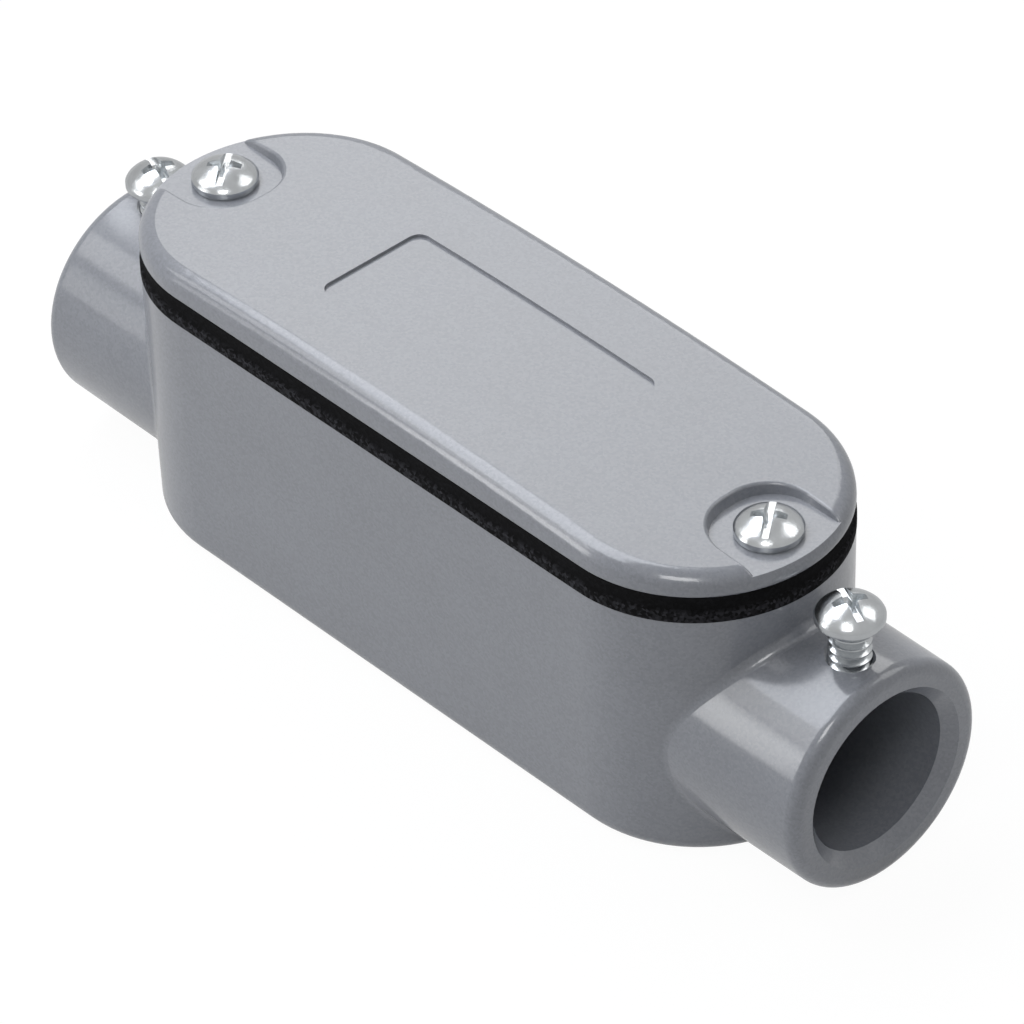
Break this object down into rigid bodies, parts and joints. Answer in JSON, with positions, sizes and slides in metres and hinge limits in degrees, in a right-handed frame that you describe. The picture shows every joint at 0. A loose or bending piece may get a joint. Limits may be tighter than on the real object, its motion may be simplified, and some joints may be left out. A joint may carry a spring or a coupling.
{
  "type": "conduit body",
  "caption": "Cast trough with a set-screw hub at each end for thin-wall steel conduit, closed by a screwed-on cover over a foam gasket.",
  "frame": {"origin": "middle of the trough's flat back", "axes": "+X along the hubs towards the right one, +Y across the trough, +Z from the back up through the cover"},
  "size_m": [0.1212, 0.0338, 0.0398],
  "materials": {
    "casting_paint": "satin",
    "cover_paint": "satin",
    "foam_rubber": "matte",
    "zinc_plate": "gloss"
  },
  "bodies": {
    "casting": {"body_casting": "casting_paint", "cover_gasket": "foam_rubber"},
    "cover": {"cover": "cover_paint"},
    "cover_screw_right": {"cover_screw_right": "zinc_plate"},
    "cover_screw_left": {"cover_screw_left": "zinc_plate"},
    "set_screw_right": {"set_screw_right": "zinc_plate"},
    "set_screw_left": {"set_screw_left": "zinc_plate"}
  },
  "joints": [
    {"name": "cover_lift", "type": "slide", "parent": "casting", "child": "cover", "axis": [0, 0, 1], "range_m": [0, 0.03]},
    {"name": "cover_screw_right_travel", "type": "slide", "parent": "cover", "child": "cover_screw_right", "axis": [0, 0, 1], "range_m": [0, 0.008]},
    {"name": "cover_screw_left_travel", "type": "slide", "parent": "cover", "child": "cover_screw_left", "axis": [0, 0, 1], "range_m": [0, 0.008]},
    {"name": "set_screw_right_travel", "type": "slide", "parent": "casting", "child": "set_screw_right", "axis": [0, 0, 1], "range_m": [-0.0049, 0.001]},
    {"name": "set_screw_left_travel", "type": "slide", "parent": "casting", "child": "set_screw_left", "axis": [0, 0, 1], "range_m": [-0.0028, 0.0031]}
  ]
}
